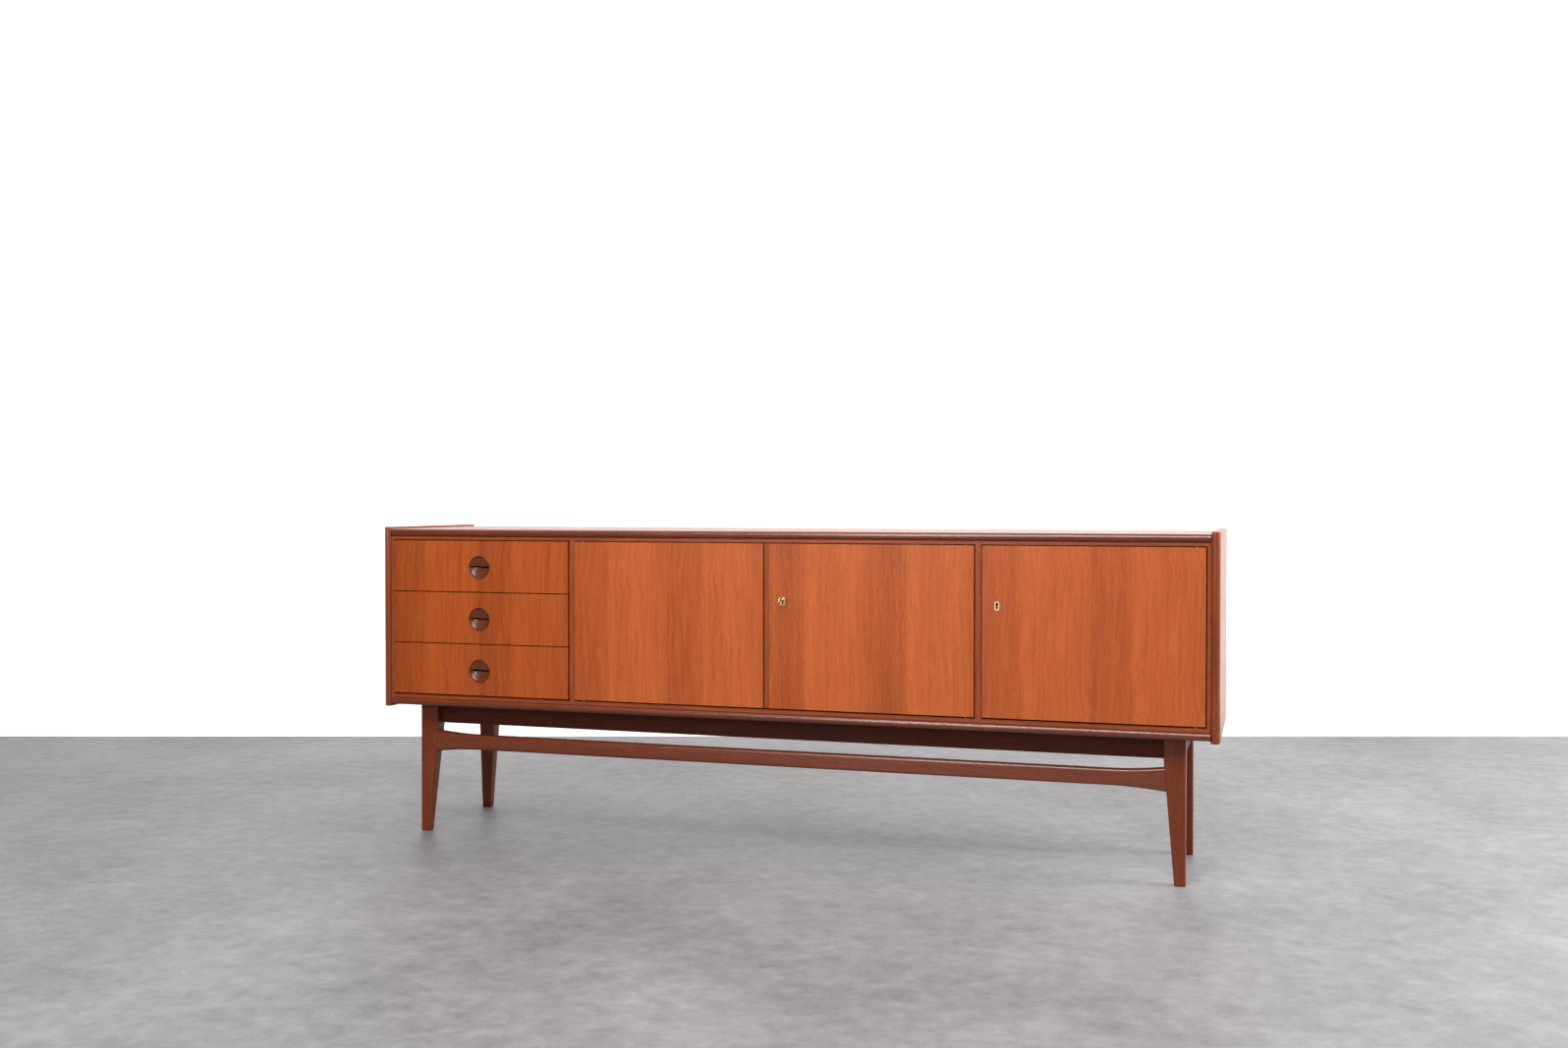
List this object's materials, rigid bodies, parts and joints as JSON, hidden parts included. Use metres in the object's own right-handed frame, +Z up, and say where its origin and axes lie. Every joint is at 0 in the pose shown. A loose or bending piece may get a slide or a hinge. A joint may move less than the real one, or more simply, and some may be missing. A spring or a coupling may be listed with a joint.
{
  "type": "sideboard buffet",
  "caption": "Long low wooden sideboard on a tapered leg frame with a stretcher; drawers with round recessed pulls on the left, hinged doors with locks on the right.",
  "frame": {"origin": "on the floor under the middle of the part's bounding box, the key included", "axes": "+X to the right as seen from the front, +Y towards the back, +Z up; the drawers and doors face -Y"},
  "size_m": [2.1, 0.478, 0.8],
  "materials": {
    "front_veneer": "satin oiled veneer with upright grain",
    "case_veneer": "satin oiled veneer with grain along the length",
    "solid_wood": "satin oiled solid hardwood",
    "pull_wood": "satin turned hardwood",
    "inner_wood": "matt pale plywood and hardwood",
    "brass": "aged polished brass",
    "steel": "plain zinc-plated steel"
  },
  "bodies": {
    "case": {"side_panel_left": "case_veneer", "side_panel_right": "case_veneer", "side_lipping_left": "solid_wood", "side_lipping_right": "solid_wood", "top_panel": "case_veneer", "top_lipping": "solid_wood", "bottom_panel": "case_veneer", "bottom_lipping": "solid_wood", "inner_strips": "solid_wood", "divider_left": "case_veneer", "divider_right": "case_veneer", "divider_lippings": "solid_wood", "back_panel": "inner_wood", "shelf_middle": "case_veneer", "shelf_right": "case_veneer", "shelf_pins": "brass", "drawer_runners": "inner_wood", "door_stops": "solid_wood", "case_hinge_leaves": "brass", "leg_front_left": "solid_wood", "leg_front_right": "solid_wood", "leg_rear_left": "solid_wood", "leg_rear_right": "solid_wood", "rail_front": "solid_wood", "rail_rear": "solid_wood", "side_rail_left": "solid_wood", "side_rail_right": "solid_wood", "stretcher_front": "solid_wood", "wood_screws": "steel"},
    "drawer_1": {"drawer_1_front": "front_veneer", "drawer_1_pull": "pull_wood", "drawer_1_sides": "inner_wood", "drawer_1_back": "inner_wood", "drawer_1_bottom": "inner_wood"},
    "drawer_2": {"drawer_2_front": "front_veneer", "drawer_2_pull": "pull_wood", "drawer_2_sides": "inner_wood", "drawer_2_back": "inner_wood", "drawer_2_bottom": "inner_wood"},
    "drawer_3": {"drawer_3_front": "front_veneer", "drawer_3_pull": "pull_wood", "drawer_3_sides": "inner_wood", "drawer_3_back": "inner_wood", "drawer_3_bottom": "inner_wood"},
    "door_1": {"door_1_panel": "front_veneer", "door_1_hinge_leaves": "brass", "door_1_closing_strip": "solid_wood", "door_1_bolt_plate": "brass"},
    "door_1_bolt": {"door_1_bolt": "steel"},
    "door_2": {"door_2_panel": "front_veneer", "door_2_hinge_leaves": "brass", "door_2_lock_case": "steel", "door_2_escutcheon": "brass"},
    "door_2_key": {"door_2_key": "brass"},
    "door_2_bolt": {"door_2_bolt": "brass"},
    "door_3": {"door_3_panel": "front_veneer", "door_3_hinge_leaves": "brass", "door_3_lock_case": "steel", "door_3_escutcheon": "brass"},
    "door_3_bolt": {"door_3_bolt": "brass"}
  },
  "joints": [
    {"name": "drawer_1_slide", "type": "slide", "parent": "case", "child": "drawer_1", "axis": [0, -1, 0], "range_m": [0, 0.3]},
    {"name": "drawer_2_slide", "type": "slide", "parent": "case", "child": "drawer_2", "axis": [0, -1, 0], "range_m": [0, 0.3]},
    {"name": "drawer_3_slide", "type": "slide", "parent": "case", "child": "drawer_3", "axis": [0, -1, 0], "range_m": [0, 0.3]},
    {"name": "door_1_hinge", "type": "hinge", "parent": "case", "child": "door_1", "pos_m": [-0.484, -0.1895, 0.568], "axis": [0, 0, -1], "range_deg": [0, 90]},
    {"name": "door_2_hinge", "type": "hinge", "parent": "case", "child": "door_2", "pos_m": [0.484, -0.1895, 0.568], "axis": [0, 0, 1], "range_deg": [0, 90]},
    {"name": "door_3_hinge", "type": "hinge", "parent": "case", "child": "door_3", "pos_m": [0.9995, -0.1895, 0.568], "axis": [0, 0, 1], "range_deg": [0, 90]},
    {"name": "door_1_bolt_slide", "type": "slide", "parent": "door_1", "child": "door_1_bolt", "axis": [0, 0, 1], "range_m": [0, 0.01]},
    {"name": "door_2_key_turn", "type": "hinge", "parent": "door_2", "child": "door_2_key", "pos_m": [0.042, -0.199, 0.6315], "axis": [0, -1, 0], "range_deg": [0, 180]},
    {"name": "door_2_bolt_slide", "type": "slide", "parent": "door_2", "child": "door_2_bolt", "axis": [-1, 0, 0], "range_m": [0, 0.008]},
    {"name": "door_3_bolt_slide", "type": "slide", "parent": "door_3", "child": "door_3_bolt", "axis": [-1, 0, 0], "range_m": [0, 0.008]}
  ],
  "couplings": [
    {"joint": "door_2_key_turn", "follows": "door_2_bolt_slide", "rad_per_m": 392.7}
  ]
}
